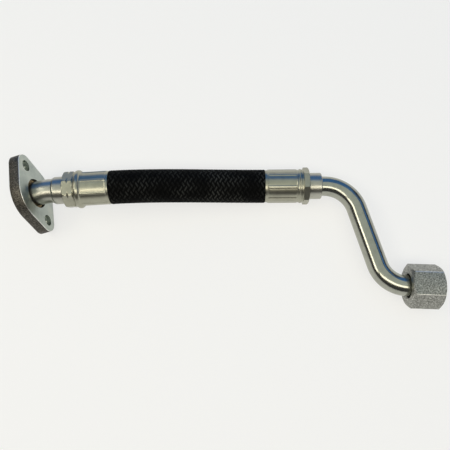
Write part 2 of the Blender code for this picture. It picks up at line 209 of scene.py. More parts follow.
# %% Bright zinc finish
def bright_zinc(name, tint, haze, waves):
    mat, tree, shader = new_material(name, 1.0, haze, tint)
    place = object_space(tree)
    cloud = noise(tree, place, 160.0, 5.0, 0.6)
    dull = tuple(c * 0.86 for c in tint)
    clean = tuple(c * 1.06 for c in tint)
    shade = ramp(tree, cloud, [(0.3, dull), (0.5, tint), (0.7, clean)])
    tree.links.new(shade, shader.inputs["Base Color"])
    patches = noise(tree, place, 420.0, 3.0, 0.5)
    tree.links.new(spread(tree, patches, haze * 0.85, haze * 1.2), shader.inputs["Roughness"])
    ripple = noise(tree, place, 260.0, 2.0, 0.5)
    first = bump(tree, shader, ripple, waves, 0.0004)
    fine = noise(tree, place, 1900.0, 2.0, 0.5)
    bump(tree, shader, fine, 0.02, 0.0001, under=first)
    return mat


TUBE_ZINC = bright_zinc("bright_zinc_tube", (0.38, 0.385, 0.33), 0.17, 0.03)
FITTING_ZINC = bright_zinc("bright_zinc_fitting", (0.42, 0.415, 0.36), 0.3, 0.03)
SLEEVE_ZINC = bright_zinc("hazed_zinc_sleeve", (0.37, 0.365, 0.29), 0.3, 0.02)
print("zinc finishes", TUBE_ZINC.name, FITTING_ZINC.name, SLEEVE_ZINC.name)

# %% [markdown]
# ## Cut plate
# The flange was cut from thick plate. Its faces are satin, and its edge keeps the dark, rough and
# finely striped wall that the cutting leaves. The stripes run across the thickness, so the noise is
# stretched along the plate's normal.


# %% Plate finishes
def plate_face():
    mat, tree, shader = new_material("plate_face", 1.0, 0.42, (0.42, 0.46, 0.42))
    place = object_space(tree)
    cloud = noise(tree, place, 90.0, 6.0, 0.6)
    stops = [(0.3, (0.33, 0.37, 0.34)), (0.55, (0.44, 0.48, 0.43)), (0.75, (0.52, 0.54, 0.47))]
    shade = ramp(tree, cloud, stops)
    tree.links.new(shade, shader.inputs["Base Color"])
    tree.links.new(spread(tree, noise(tree, place, 700.0), 0.3, 0.46), shader.inputs["Roughness"])
    bump(tree, shader, noise(tree, place, 1500.0, 4.0), 0.12, 0.0002)
    return mat


def plate_wall():
    mat, tree, shader = new_material("plate_wall", 1.0, 0.5, (0.2, 0.19, 0.17))
    turn = Vector(PLATE_NORMAL).to_track_quat("X", "Z").inverted().to_euler()
    place = object_space(tree, (0.3, 1.0, 1.0), tuple(turn))
    grain = noise(tree, place, 2200.0, 5.0, 0.65)
    stops = [(0.36, (0.035, 0.033, 0.028)), (0.52, (0.10, 0.092, 0.08)), (0.68, (0.27, 0.255, 0.21))]
    shade = ramp(tree, grain, stops)
    tree.links.new(shade, shader.inputs["Base Color"])
    tree.links.new(spread(tree, grain, 0.38, 0.62), shader.inputs["Roughness"])
    bump(tree, shader, grain, 0.5, 0.0004)
    return mat


PLATE_FACE = plate_face()
PLATE_WALL = plate_wall()
print("plate finishes", PLATE_FACE.name, PLATE_WALL.name)

# %% [markdown]
# ## Tumbled nut
# The nut is matt: it was tumbled with others before it was plated, which leaves a fine grain and
# bright dents, most of all along its corners. A cell pattern over a noise gives the grain.


# %% Nut finishes
def nut_grain():
    mat, tree, shader = new_material("nut_grain", 1.0, 0.48, (0.46, 0.48, 0.46))
    place = object_space(tree)
    cells = tree.nodes.new("ShaderNodeTexVoronoi")
    cells.inputs["Scale"].default_value = 900.0
    tree.links.new(place, cells.inputs["Vector"])
    blotch = noise(tree, place, 1100.0, 5.0, 0.7)
    grain = sums(tree, "ADD", blotch, spread(tree, cells.outputs["Distance"], -0.08, 0.08))
    stops = [
        (0.36, (0.12, 0.122, 0.11)),
        (0.5, (0.31, 0.31, 0.28)),
        (0.6, (0.48, 0.48, 0.435)),
        (0.7, (0.78, 0.78, 0.71)),
    ]
    shade = ramp(tree, grain, stops)
    tree.links.new(shade, shader.inputs["Base Color"])
    tree.links.new(spread(tree, grain, 0.56, 0.36, 0.3, 0.7), shader.inputs["Roughness"])
    bump(tree, shader, grain, 0.35, 0.00025)
    return mat


def worn_corner():
    mat, tree, shader = new_material("worn_corner", 1.0, 0.28, (0.78, 0.78, 0.74))
    place = object_space(tree)
    rub = noise(tree, place, 700.0, 5.0, 0.7)
    stops = [(0.35, (0.42, 0.43, 0.41)), (0.52, (0.75, 0.75, 0.71)), (0.7, (0.9, 0.9, 0.86))]
    shade = ramp(tree, rub, stops)
    tree.links.new(shade, shader.inputs["Base Color"])
    tree.links.new(spread(tree, rub, 0.45, 0.22), shader.inputs["Roughness"])
    bump(tree, shader, rub, 0.25, 0.0002)
    return mat


NUT_GRAIN = nut_grain()
WORN_CORNER = worn_corner()
print("nut finishes", NUT_GRAIN.name, WORN_CORNER.name)

# %% [markdown]
# ## Rubber, braze and the braid's yarn
# The braid is dull black yarn. Its strands are real relief in the mesh. The finish follows them by
# the piece's own UV map: the same sums tell which strand is on top, and a ping-pong draws its crest
# and the four yarns in it. Crests and yarn middles get a painted sheen, hollows a painted black
# shade, and a slow noise wears the braid in patches. Yarn hardly shines, so its specular level is
# low. The liner inside keeps its solid and only gets the rubber, and the braze is a crusty brass.


# %% Dark finishes
STRANDS = 12
BRAID_PITCH = 48.0


def braid_yarn():
    """Reads the braid's own turns from the UV map: which strand is on top, and the yarns in it."""
    mat, tree, shader = new_material("braid_yarn", 0.0, 0.7, (0.012, 0.012, 0.014))
    shader.inputs["Specular IOR Level"].default_value = 0.05
    coords = tree.nodes.new("ShaderNodeTexCoord")
    split = tree.nodes.new("ShaderNodeSeparateXYZ")
    tree.links.new(coords.outputs["UV"], split.inputs["Vector"])
    around = sums(tree, "MULTIPLY", split.outputs["X"], float(STRANDS))
    along = sums(tree, "MULTIPLY", split.outputs["Y"], 1000.0 * STRANDS / BRAID_PITCH)
    left = sums(tree, "ADD", around, along)
    right = sums(tree, "SUBTRACT", around, along)
    steps = sums(tree, "ADD", sums(tree, "FLOOR", left), sums(tree, "FLOOR", right))
    over = sums(tree, "PINGPONG", steps, 1.0)
    rows = []
    for strand in (left, right):
        yarn = sums(tree, "PINGPONG", sums(tree, "MULTIPLY", strand, 4.0), 0.5)
        rows.append(yarn)
    gap = sums(tree, "SUBTRACT", rows[0], rows[1])
    yarns = sums(tree, "MULTIPLY_ADD", gap, over, rows[1])
    # Crests and the middle of each yarn are painted lighter as a painted sheen; hollows stay black as
    # painted shade.
    crests = [sums(tree, "PINGPONG", strand, 0.5) for strand in (left, right)]
    step = sums(tree, "SUBTRACT", crests[0], crests[1])
    crest = sums(tree, "MULTIPLY_ADD", step, over, crests[1])
    place = object_space(tree)
    fluff = noise(tree, place, 3200.0, 4.0, 0.7)
    twisted = sums(tree, "MULTIPLY_ADD", yarns, 0.5, crest)
    mixed = sums(tree, "MULTIPLY_ADD", fluff, 0.3, twisted)
    worn = spread(tree, noise(tree, place, 55.0, 3.0, 0.6), -0.16, 0.08, 0.35, 0.65)
    sheen_and_wear = sums(tree, "ADD", mixed, worn)
    # The ramp paints hollows near black as painted shade and crests pale as a painted sheen, over the
    # random wear and fluff.
    stops = [
        (0.4, (0.0015, 0.0016, 0.0015)),
        (0.6, (0.004, 0.004, 0.004)),
        (0.86, (0.05, 0.052, 0.048)),
    ]
    shade = ramp(tree, sheen_and_wear, stops)
    tree.links.new(shade, shader.inputs["Base Color"])
    tree.links.new(spread(tree, fluff, 0.55, 0.85), shader.inputs["Roughness"])
    bump(tree, shader, mixed, 0.6, 0.0004)
    return mat


def plain_rubber():
    mat, tree, shader = new_material("plain_rubber", 0.0, 0.5, (0.014, 0.014, 0.015))
    place = object_space(tree)
    dust = noise(tree, place, 900.0, 4.0)
    shade = ramp(tree, dust, [(0.4, (0.010, 0.010, 0.011)), (0.75, (0.035, 0.034, 0.032))])
    tree.links.new(shade, shader.inputs["Base Color"])
    bump(tree, shader, dust, 0.15, 0.0001)
    return mat


def brass_braze():
    mat, tree, shader = new_material("brass_braze", 1.0, 0.38, (0.5, 0.38, 0.2))
    place = object_space(tree)
    crust = noise(tree, place, 900.0, 5.0, 0.7)
    stops = [(0.35, (0.16, 0.12, 0.08)), (0.6, (0.5, 0.38, 0.2)), (0.8, (0.66, 0.52, 0.28))]
    shade = ramp(tree, crust, stops)
    tree.links.new(shade, shader.inputs["Base Color"])
    bump(tree, shader, crust, 0.4, 0.0004)
    return mat


BRAID_YARN = braid_yarn()
PLAIN_RUBBER = plain_rubber()
BRASS_BRAZE = brass_braze()
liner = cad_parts["hose_liner"]
liner.data.materials.clear()
liner.data.materials.append(PLAIN_RUBBER)
print("the liner keeps its solid and gets", PLAIN_RUBBER.name)

# %% [markdown]
# ## Turning a profile
# Most pieces are turned parts. On a lathe a profile is swept round an axis, and bmesh's spin does
# the same: an open or closed row of points is spun a full turn and the seam is merged. A profile's
# corners are rounded first, because a real edge is never quite sharp and its glint shows that.


# %% The lathe helper
VERT = bmesh.types.BMVert
EDGE = bmesh.types.BMEdge
SAME_POINT = 1e-7


def full_turn(shape, steps):
    bmesh.ops.spin(
        shape,
        geom=shape.verts[:] + shape.edges[:],
        cent=(0.0, 0.0, 0.0),
        axis=(0.0, 0.0, 1.0),
        angle=math.tau,
        steps=steps,
        use_merge=True,
    )


def turned(profile, steps=96, closed=True):
    """Turns a row of (radius, height) pairs in millimetres into a piece round Z."""
    shape = bmesh.new()
    points = [shape.verts.new((radius * MM, 0.0, height * MM)) for radius, height in profile]
    for first, second in zip(points, points[1:]):
        shape.edges.new((first, second))
    if closed:
        shape.edges.new((points[-1], points[0]))
    full_turn(shape, steps)
    bmesh.ops.remove_doubles(shape, verts=shape.verts, dist=SAME_POINT)
    return shape


def softened(profile, radius, arc):
    """Rounds the corners of a closed turned profile, so that edges catch the light."""
    out = []
    count = len(profile)
    for i in range(count):
        a = Vector(profile[i - 1])
        b = Vector(profile[i])
        c = Vector(profile[(i + 1) % count])
        into = a - b
        away = c - b
        reach = min(radius, into.length * 0.4, away.length * 0.4)
        start = b + into.normalized() * reach
        end = b + away.normalized() * reach
        for k in range(arc + 1):
            t = k / arc
            out.append(tuple(start.lerp(b, t).lerp(b.lerp(end, t), t)))
    return out


# %% [markdown]
# ## Handing a piece in
# Every piece goes through the same last steps: it is moved to its place, its faces are turned
# outwards and shaded smooth, and edges that are sharper than a limit stay crisp.


# %% Finishing a piece
def as_object(name, shape):
    """Writes a bmesh into a new object of the scene."""
    mesh = bpy.data.meshes.new(name)
    shape.to_mesh(mesh)
    shape.free()
    made = bpy.data.objects.new(name, mesh)
    bpy.context.scene.collection.objects.link(made)
    return made


def finish_piece(name, shape, mats, matrix, body, nodes, sharp=30.0):
    """Puts a bmesh into the scene as a piece of the line."""
    shape.transform(matrix)
    bmesh.ops.recalc_face_normals(shape, faces=shape.faces)
    if shape.calc_volume(signed=True) < 0:
        bmesh.ops.reverse_faces(shape, faces=shape.faces)
    for face in shape.faces:
        face.smooth = True
    limit = math.radians(sharp)
    for edge in shape.edges:
        if len(edge.link_faces) == 2 and edge.calc_face_angle(0.0) > limit:
            edge.smooth = False
    piece = as_object(name, shape)
    for mat in mats:
        piece.data.materials.append(mat)
    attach(piece, body)
    if nodes:
        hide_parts(*nodes)
    print(name, len(piece.data.polygons), "faces")


# %% [markdown]
# ## Nipples
# Each nipple has a collar that stops the ferrule, a neck that the ferrule's lip is pressed into and
# a barbed tail inside the hose. The left collar has a round shoulder and the right one a sharp one.


# %% Nipples
NECK_R = 8.2
LOCK_R = 9.6
TAIL_R = 7.3
TAIL_LEN = 20.0
BARBS = 4
BARB_R = 8.05
BARB_STEP = 4.5
INSERT_BORE_R = 5.6
SOCKET_END = 6.5


def nipple_profile(collar_len, socket_r, collar_r, shoulder):
    """Rows over the collar, neck, lock ring and barbs, and back through the bore."""
    root = collar_len + 6.3
    tip = root + TAIL_LEN
    points = [(socket_r + 0.4, 0.0)]
    points += shoulder
    points += [
        (collar_r, collar_len - 0.3),
        (collar_r - 0.3, collar_len),
        (NECK_R, collar_len),
        (NECK_R, collar_len + 4.0),
        (LOCK_R, collar_len + 4.3),
        (LOCK_R, collar_len + 5.8),
        (TAIL_R, root),
    ]
    for i in range(BARBS):
        low = root + 0.6 + i * BARB_STEP
        points += [(BARB_R, low), (BARB_R, low + 0.5), (TAIL_R, low + 4.1)]
    points += [(TAIL_R - 0.5, tip), (INSERT_BORE_R, tip), (INSERT_BORE_R, SOCKET_END)]
    points += [(socket_r, SOCKET_END), (socket_r, 0.4)]
    return points


COLLAR_R_A = 11.0
COLLAR_R_B = 10.7
SHOULDER_R = 2.0
FINE_EDGE = 0.15
ROUND_SHOULDER = []
for degrees in range(25, 91, 13):
    out = SHOULDER_R * math.sin(math.radians(degrees))
    up = SHOULDER_R * math.cos(math.radians(degrees))
    ROUND_SHOULDER.append((COLLAR_R_A - SHOULDER_R + out, SHOULDER_R - up))
SHARP_SHOULDER = [(COLLAR_R_B - 0.5, 0.0), (COLLAR_R_B, 0.5)]
rows_a = nipple_profile(9.0, 9.9, COLLAR_R_A, ROUND_SHOULDER)
rows_b = nipple_profile(10.0, 8.3, COLLAR_R_B, SHARP_SHOULDER)
nipple_a = turned(softened(rows_a, FINE_EDGE, 2))
nipple_b = turned(softened(rows_b, FINE_EDGE, 2))
ZINC = [FITTING_ZINC]
finish_piece("flange_end_insert", nipple_a, ZINC, FRAME_A, "line", ["flange_end_nipple"])
finish_piece("tube_end_insert", nipple_b, ZINC, FRAME_B, "line", ["tube_end_nipple"])

# %% [markdown]
# ## Crimped ferrules
# A ferrule starts as a turned sleeve. The crimping press then closes eight dies on it, which leaves
# eight shallow faces with a narrow ridge between each two. Here the sleeve is spun with many steps,
# and its points are moved inward as the dies would press them. The head keeps eight flats.


# %% Pressing the sleeves
DIE_STEP = math.tau / 8
RIDGE = math.radians(3.4)
PRESS_RAMP = 0.8
PRESS_DEPTH = 0.42
SKIN_R = 12.9
HEAD_SKIN_R = 12.7
MOUTH_R = 13.1
ROOM_R = 12.2
LIP_R = 8.5
SLEEVE_EDGE = 0.3
SLEEVE_STEPS = 192


def press_faces(shape, low, high, turn_deg):
    """Moves the outer skin inward between the ridges, as eight crimp dies do."""
    for vert in shape.verts:
        height = vert.co.z / MM
        radius = math.hypot(vert.co.x, vert.co.y) / MM
        if radius < SKIN_R or height < low or height > high:
            continue
        a = (math.atan2(vert.co.y, vert.co.x) - math.radians(turn_deg)) % DIE_STEP
        off = min(a, DIE_STEP - a)
        side = max(0.0, min(1.0, (off - RIDGE * 0.5) / (RIDGE * 0.9)))
        inset = PRESS_DEPTH * side * side * (3 - 2 * side)
        fade = min(1.0, (height - low) / PRESS_RAMP, (high - height) / PRESS_RAMP)
        push = inset * max(0.0, fade)
        vert.co.x *= (radius - push) / radius
        vert.co.y *= (radius - push) / radius


def flatten_head(shape, low, high, turn_deg, corner_r):
    """Clips the skin to eight flats, whose corners reach corner_r."""
    flat_r = corner_r * math.cos(DIE_STEP / 2)
    for vert in shape.verts:
        height = vert.co.z / MM
        radius = math.hypot(vert.co.x, vert.co.y) / MM
        if radius < HEAD_SKIN_R or height < low or height > high:
            continue
        a = (math.atan2(vert.co.y, vert.co.x) - math.radians(turn_deg)) % DIE_STEP
        reach = flat_r / math.cos(a - DIE_STEP / 2)
        if radius > reach:
            vert.co.x *= reach / radius
            vert.co.y *= reach / radius


def finely(profile, step=0.7):
    """Adds points along the outer skin's runs, so that the dies can shape them."""
    out = []
    for a, b in zip(profile, profile[1:] + profile[:1]):
        parts = 1
        if a[0] > SKIN_R and b[0] > SKIN_R:
            parts = max(1, round((Vector(b) - Vector(a)).length / step))
        out += [tuple(Vector(a).lerp(Vector(b), k / parts)) for k in range(parts)]
    return out


def turned_sleeve(start, end, outer):
    """Closes the outer profile with the hose's room and the lip, and turns it."""
    room = start + 3.4
    mouth = [(MOUTH_R, end), (ROOM_R, end - 1.4)]
    inner = mouth + [(ROOM_R, room), (LIP_R, room), (LIP_R, start)]
    return turned(finely(softened(outer + inner, SLEEVE_EDGE, 3)), SLEEVE_STEPS)


# %% [markdown]
# ## The flange end ferrule
# This one has a stepped head with a groove, a rounded bead behind it, and the eight crimp faces. Its
# outer profile is a row of radii and heights from the lip to the hose.

# %% The flange end ferrule
START_A = 9.3
END_A = START_A + 35.8
sleeve_a = [
    (12.9, START_A),
    (14.7, START_A + 0.9),
    (15.25, START_A + 4.1),
    (14.2, START_A + 4.5),
    (14.2, START_A + 5.4),
    (15.25, START_A + 5.8),
    (15.25, START_A + 8.2),
    (13.9, START_A + 8.7),
    (13.9, START_A + 9.3),
    (14.9, START_A + 9.9),
    (15.3, START_A + 11.0),
    (15.3, START_A + 12.2),
    (14.9, START_A + 13.2),
    (13.9, START_A + 13.9),
    (13.9, END_A - 1.7),
    (13.3, END_A - 1.2),
    (13.3, END_A - 0.3),
]
HEAD_R_A = 15.05
TURN_A = -8.0
shape = turned_sleeve(START_A, END_A, sleeve_a)
flatten_head(shape, START_A - 0.1, START_A + 8.6, TURN_A, HEAD_R_A)
press_faces(shape, START_A + 14.1, END_A - 1.3, TURN_A)
HAZED = [SLEEVE_ZINC]
finish_piece("flange_end_sleeve", shape, HAZED, FRAME_A, "line", ["flange_end_ferrule"])

# %% [markdown]
# ## The tube end ferrule
# The other ferrule is of another pattern: an octagonal head that stands higher than the rest, a
# narrow groove, a low bead and again eight crimp faces. One flat of its head rests on the floor.

# %% The tube end ferrule
START_B = 10.3
END_B = START_B + 35.2
sleeve_b = [
    (14.2, START_B),
    (15.3, START_B + 0.7),
    (15.3, START_B + 4.3),
    (13.5, START_B + 4.7),
    (13.5, START_B + 5.8),
    (13.9, START_B + 6.1),
    (13.9, START_B + 7.3),
    (13.3, START_B + 7.7),
    (13.3, START_B + 9.2),
    (13.6, START_B + 9.6),
    (13.6, END_B - 2.2),
    (13.1, END_B - 1.7),
    (13.1, END_B - 0.3),
]
TURN_B = 22.5
shape = turned_sleeve(START_B, END_B, sleeve_b)
flatten_head(shape, START_B - 0.1, START_B + 4.6, TURN_B, HEAD_R_B)
press_faces(shape, START_B + 9.8, END_B - 2.0, TURN_B)
finish_piece("tube_end_sleeve", shape, HAZED, FRAME_B, "line", ["tube_end_ferrule"])

# %% [markdown]
# ## The bent tube
# A bender makes a tube of straight runs and arcs, and bmesh can follow the same steps: a ring is
# extruded along each straight run and spun round each bend's centre.


# %% Bending the tube
RING_STEPS = 64
BEND_STEPS = 40


def bend_centre(corner, before, after, radius):
    into = (corner - before).normalized()
    out = (after - corner).normalized()
    angle = into.angle(out)
    start = corner - into * radius * math.tan(angle / 2)
    inward = (out - into * out.dot(into)).normalized()
    return start, start + inward * radius, into.cross(out).normalized(), angle


def only(items, kind):
    """Keeps the points or the edges of what an operator returns."""
    return [item for item in items if isinstance(item, kind)]


def pull_ring(shape, edges, reach):
    """Extrudes a ring of edges by one step and returns the new ring."""
    grown = bmesh.ops.extrude_edge_only(shape, edges=edges)["geom"]
    lifted = only(grown, VERT)
    bmesh.ops.translate(shape, verts=lifted, vec=reach)
    there = set(lifted)
    edges = [edge for edge in only(grown, EDGE) if all(v in there for v in edge.verts)]
    return edges, lifted


def bent_pipe(start_at, bends, end_at, outer, inner):
    """Extrudes and spins two rings through the bends, then bridges them at both ends."""
    shape = bmesh.new()
    rings = []
    for radius in (outer, inner):
        ring = bmesh.ops.create_circle(shape, segments=RING_STEPS, radius=radius * MM)["verts"]
        bmesh.ops.transform(shape, matrix=frame_at(start_at, bends[0][0] - start_at), verts=ring)
        edges = list(dict.fromkeys(edge for vert in ring for edge in vert.link_edges))
        first = edges
        where = start_at
        stops = [start_at] + [corner for corner, bend_r in bends] + [end_at]
        for i, (corner, bend_r) in enumerate(bends):
            start, centre, axis, angle = bend_centre(corner, stops[i], stops[i + 2], bend_r)
            edges, lifted = pull_ring(shape, edges, (start - where) * MM)
            swept = bmesh.ops.spin(
                shape,
                geom=lifted + edges,
                cent=centre * MM,
                axis=axis,
                angle=angle,
                steps=BEND_STEPS,
                use_merge=False,
            )["geom_last"]
            edges = only(swept, EDGE)
            ends = only(swept, VERT)
            where = sum((v.co for v in ends), Vector()) / len(ends) / MM
        edges = pull_ring(shape, edges, (end_at - where) * MM)[0]
        rings.append((first, edges))
    bmesh.ops.bridge_loops(shape, edges=rings[0][0] + rings[1][0])
    bmesh.ops.bridge_loops(shape, edges=rings[0][1] + rings[1][1])
    bmesh.ops.remove_doubles(shape, verts=shape.verts, dist=SAME_POINT)
    return shape


INTO_COLLAR = 6.2
INTO_CONE = 12.7
TUBE_R = 8.0
TUBE_BORE_R = 6.0
TUBE_BENDS = [(CORNER_1, 26.0), (CORNER_2, 22.0)]
TUBE_FROM = COLLAR_B + LINE_B * INTO_COLLAR
TUBE_TO = NUT_AT + LEG_C * INTO_CONE
AS_IS = Matrix.Identity(4)
tube = bent_pipe(TUBE_FROM, TUBE_BENDS, TUBE_TO, TUBE_R, TUBE_BORE_R)
finish_piece("bent_line_tube", tube, [TUBE_ZINC], AS_IS, "line", ["bent_tube"])

# %% [markdown]
# ## The flange
# The plate's outline is the tightest band round three discs, a large one for the port and a small one
# round each bolt hole. A convex hull of three circles on each side gives exactly that shape. Its
# flat faces are merged, and both rims get a small bevel with the rubbed finish.


# %% Cutting the plate
PLATE_THICK = 8.8
HALF_SPACING = 23.25
BELLY_R = 22.8
EAR_R = 9.4
BOLT_HOLE_R = 4.5
SOCKET_R = 12.0
PORT_R = 7.0
RIM_BEVEL = 0.4
DISCS = [(0.0, BELLY_R, 160), (-HALF_SPACING, EAR_R, 96), (HALF_SPACING, EAR_R, 96)]
FACE, WALL, RUBBED = 0, 1, 2
PLATE_MATS = [PLATE_FACE, PLATE_WALL, WORN_CORNER]
sideways = PLATE_NORMAL.cross(Vector((0.0, 0.0, 1.0))).normalized()
upward = sideways.cross(PLATE_NORMAL)
lean = math.radians(30.0)
LONG_AXIS = (sideways * math.cos(lean) - upward * math.sin(lean)).normalized()
PLATE_TURN = Matrix((LONG_AXIS.cross(PLATE_NORMAL), LONG_AXIS, PLATE_NORMAL)).transposed().to_4x4()
PLATE_FRAME = Matrix.Translation(FACE_CENTRE * MM) @ PLATE_TURN


def lies_flat(face):
    return abs(face.normal.z) > 0.9


def plate_shape():
    """Wraps three discs in a hull, merges its flat faces and bevels both rims."""
    shape = bmesh.new()
    for low in (0.0, -PLATE_THICK):
        for centre_y, radius, segments in DISCS:
            place = Matrix.Translation((0.0, centre_y * MM, low * MM))
            bmesh.ops.create_circle(shape, segments=segments, radius=radius * MM, matrix=place)
    hull = bmesh.ops.convex_hull(shape, input=shape.verts[:])
    spare = only(hull["geom_interior"] + hull["geom_unused"], VERT)
    bmesh.ops.delete(shape, geom=list(dict.fromkeys(spare)), context="VERTS")
    bmesh.ops.dissolve_limit(
        shape,
        angle_limit=math.radians(0.2),
        verts=shape.verts[:],
        edges=shape.edges[:],
    )
    for face in shape.faces:
        face.material_index = FACE if lies_flat(face) else WALL
    rims = [edge for edge in shape.edges if len({lies_flat(f) for f in edge.link_faces}) == 2]
    rounded = bmesh.ops.bevel(
        shape,
        geom=rims,
        offset=RIM_BEVEL * MM,
        segments=2,
        profile=0.5,
        affect="EDGES",
        material=-1,
        offset_type="OFFSET",
    )["faces"]
    for face in rounded:
        face.material_index = RUBBED
    return shape


# %% [markdown]
# ## Drilling
# A drill is a plain round bar that is taken away from the plate by a Boolean. The two bolt holes, the
# port and the stub's socket are cut one after the other. The wall that a bar leaves gets the bar's
# own material: the bolt holes shine like the face, and the port and the socket get the dark cut-edge
# finish as painted shade in these recesses.


# %% Drilling the plate
def rod(radius, low, high, centre_y=0.0, segments=96, mat=FACE):
    shape = bmesh.new()
    bmesh.ops.create_cone(
        shape,
        cap_ends=True,
        segments=segments,
        radius1=radius * MM,
        radius2=radius * MM,
        depth=(high - low) * MM,
        matrix=Matrix.Translation((0.0, centre_y * MM, (low + high) / 2 * MM)),
    )
    for face in shape.faces:
        face.material_index = mat
    return shape


def carved(shape, cuts, mats):
    """Cuts a shape with each tool by the exact Boolean and returns the result as a bmesh."""
    bmesh.ops.recalc_face_normals(shape, faces=shape.faces)
    body = as_object("carved", shape)
    for mat in mats:
        body.data.materials.append(mat)
    for operation, cut in cuts:
        bmesh.ops.recalc_face_normals(cut, faces=cut.faces)
        tool = as_object("cutter", cut)
        for mat in mats:
            tool.data.materials.append(mat)
        step = body.modifiers.new("Cut", "BOOLEAN")
        step.operation = operation
        step.solver = "EXACT"
        step.object = tool
        graph = bpy.context.evaluated_depsgraph_get()
        done = bpy.data.meshes.new_from_object(body.evaluated_get(graph))
        body.modifiers.clear()
        body.data = done
        bpy.data.objects.remove(tool, do_unlink=True)
    out = bmesh.new()
    out.from_mesh(body.data)
    bpy.data.objects.remove(body, do_unlink=True)
    return out


BELOW_PLATE = -12.0
ABOVE_PLATE = 2.0
drills = [
    rod(BOLT_HOLE_R, BELOW_PLATE, ABOVE_PLATE, -HALF_SPACING, 64),
    rod(BOLT_HOLE_R, BELOW_PLATE, ABOVE_PLATE, HALF_SPACING, 64),
    # The socket and the port take the dark wall finish as painted shade in these recesses.
    rod(SOCKET_R, -SOCKET_DEPTH, ABOVE_PLATE, mat=WALL),
    rod(PORT_R, BELOW_PLATE, ABOVE_PLATE, mat=WALL),
]
plate = carved(plate_shape(), [("DIFFERENCE", drill) for drill in drills], PLATE_MATS)
finish_piece("cut_flange", plate, PLATE_MATS, PLATE_FRAME, "line", ["flange_plate"])

# %% [markdown]
# ## The stub and its braze
# The stub leans a little in the plate's socket. Its lower end is cut square to the plate, and the
# braze lies round it as a low fillet.

# %% Stub and braze
STUB_R = 9.6
STUB_BORE_R = 7.6
STUB_BEND_R = 20.0
BELOW_SEAT = 6.0
SEAT_GAP = 0.3
BRAZE_BORE_R = 9.9
SEAT_FRAME = Matrix.Translation(SEAT * MM) @ PLATE_TURN
STUB_FROM = SEAT - STUB_WAY * BELOW_SEAT
STUB_TO = COLLAR_A + LINE_A * INTO_COLLAR
stub = bent_pipe(STUB_FROM, [(STUB_CORNER, STUB_BEND_R)], STUB_TO, STUB_R, STUB_BORE_R)
stub.transform(SEAT_FRAME.inverted())
bmesh.ops.bisect_plane(
    stub,
    geom=stub.verts[:] + stub.edges[:] + stub.faces[:],
    plane_co=(0.0, 0.0, SEAT_GAP * MM),
    plane_no=(0.0, 0.0, -1.0),
    clear_outer=True,
)
rim = [edge for edge in stub.edges if edge.is_boundary]
bmesh.ops.bridge_loops(stub, edges=rim)
finish_piece("brazed_stub", stub, ZINC, SEAT_FRAME, "line", ["flange_stub"])

BRASS = [BRASS_BRAZE]
fillet_rows = [(9.0, 0.3), (11.7, 0.3), (11.65, 1.45), (11.3, 1.3), (10.9, 0.95), (9.0, 0.9)]
core = rod(BRAZE_BORE_R, -20.0, 20.0)
core.transform(SEAT_FRAME.inverted() @ frame_at(SEAT, STUB_WAY))
fillet = carved(turned(fillet_rows), [("DIFFERENCE", core)], BRASS)
finish_piece("braze_fillet", fillet, BRASS, SEAT_FRAME, "line", ["flange_braze"])

# %% [markdown]
# ## The sealing cone
# Inside the nut the tube ends in a cone sleeve. Its rear shoulder is what the nut pulls on, and an
# O-ring sits in a groove of the cone.

# %% Cone and O-ring
FALL = math.tan(math.radians(12.0))
CONE_R = 10.3
CONE_START = 10.8
RING_AT = Vector((8.9, 0.0, 15.0))
RING_THICK_R = 0.9


def cone_r(height):
    return CONE_R - FALL * (height - CONE_START)


cone_profile = [
    (8.3, 6.3),
    (9.35, 6.3),
    (10.75, 7.7),
    (10.75, 10.4),
    (CONE_R, CONE_START),
    (cone_r(13.7), 13.7),
    (7.7, 13.8),
    (7.7, 16.2),
    (cone_r(16.3), 16.3),
    (cone_r(19.2), 19.2),
    (cone_r(19.2) - 0.5, 19.5),
    (TUBE_BORE_R, 19.5),
    (TUBE_BORE_R, 13.0),
    (8.3, 13.0),
]
cone = turned(softened(cone_profile, FINE_EDGE, 2))
finish_piece("cone_sleeve", cone, ZINC, FRAME_N, "line", ["sealing_cone"])
upright = Matrix.Translation(RING_AT * MM) @ Matrix.Rotation(math.pi / 2, 4, "X")
seal = bmesh.new()
bmesh.ops.create_circle(seal, segments=24, radius=RING_THICK_R * MM, matrix=upright)
full_turn(seal, 96)
finish_piece("seal_ring", seal, [PLAIN_RUBBER], FRAME_N, "line", ["cone_o_ring"])

# %% [markdown]
# ## The union nut
# A nut is a piece of hexagon bar, chamfered at both ends on a lathe. The two chamfers are one double
# cone: where it meets the six flats it draws the curved edges that every nut has. The corners are
# bevelled a little and get the brighter, rubbed finish.

# %% Nut body
NUT_LEN = 24.0
CORNER_R = 2.0 * NUT_HALF / math.sqrt(3)
CORNER_BEVEL = 0.45
CHAMFER_SLOPE = math.tan(math.radians(30.0))
CHAMFER_REACH = 6.0
FRONT_CHAMFER_R = 14.4
REAR_CHAMFER_R = 14.3
CORNER = 1
NUT_MATS = [NUT_GRAIN, WORN_CORNER]


def hex_bar():
    shape = bmesh.new()
    bmesh.ops.create_cone(
        shape,
        cap_ends=True,
        segments=6,
        radius1=CORNER_R * MM,
        radius2=CORNER_R * MM,
        depth=NUT_LEN * MM,
        matrix=Matrix.Translation((0.0, 0.0, NUT_LEN / 2 * MM)),
    )
    upright_edges = [
        e for e in shape.edges if abs((e.verts[0].co - e.verts[1].co).normalized().z) > 0.9
    ]
    rounded = bmesh.ops.bevel(
        shape,
        geom=upright_edges,
        offset=CORNER_BEVEL * MM,
        segments=3,
        profile=0.5,
        affect="EDGES",
        material=-1,
        offset_type="OFFSET",
    )["faces"]
    for face in rounded:
        face.material_index = CORNER
    return shape


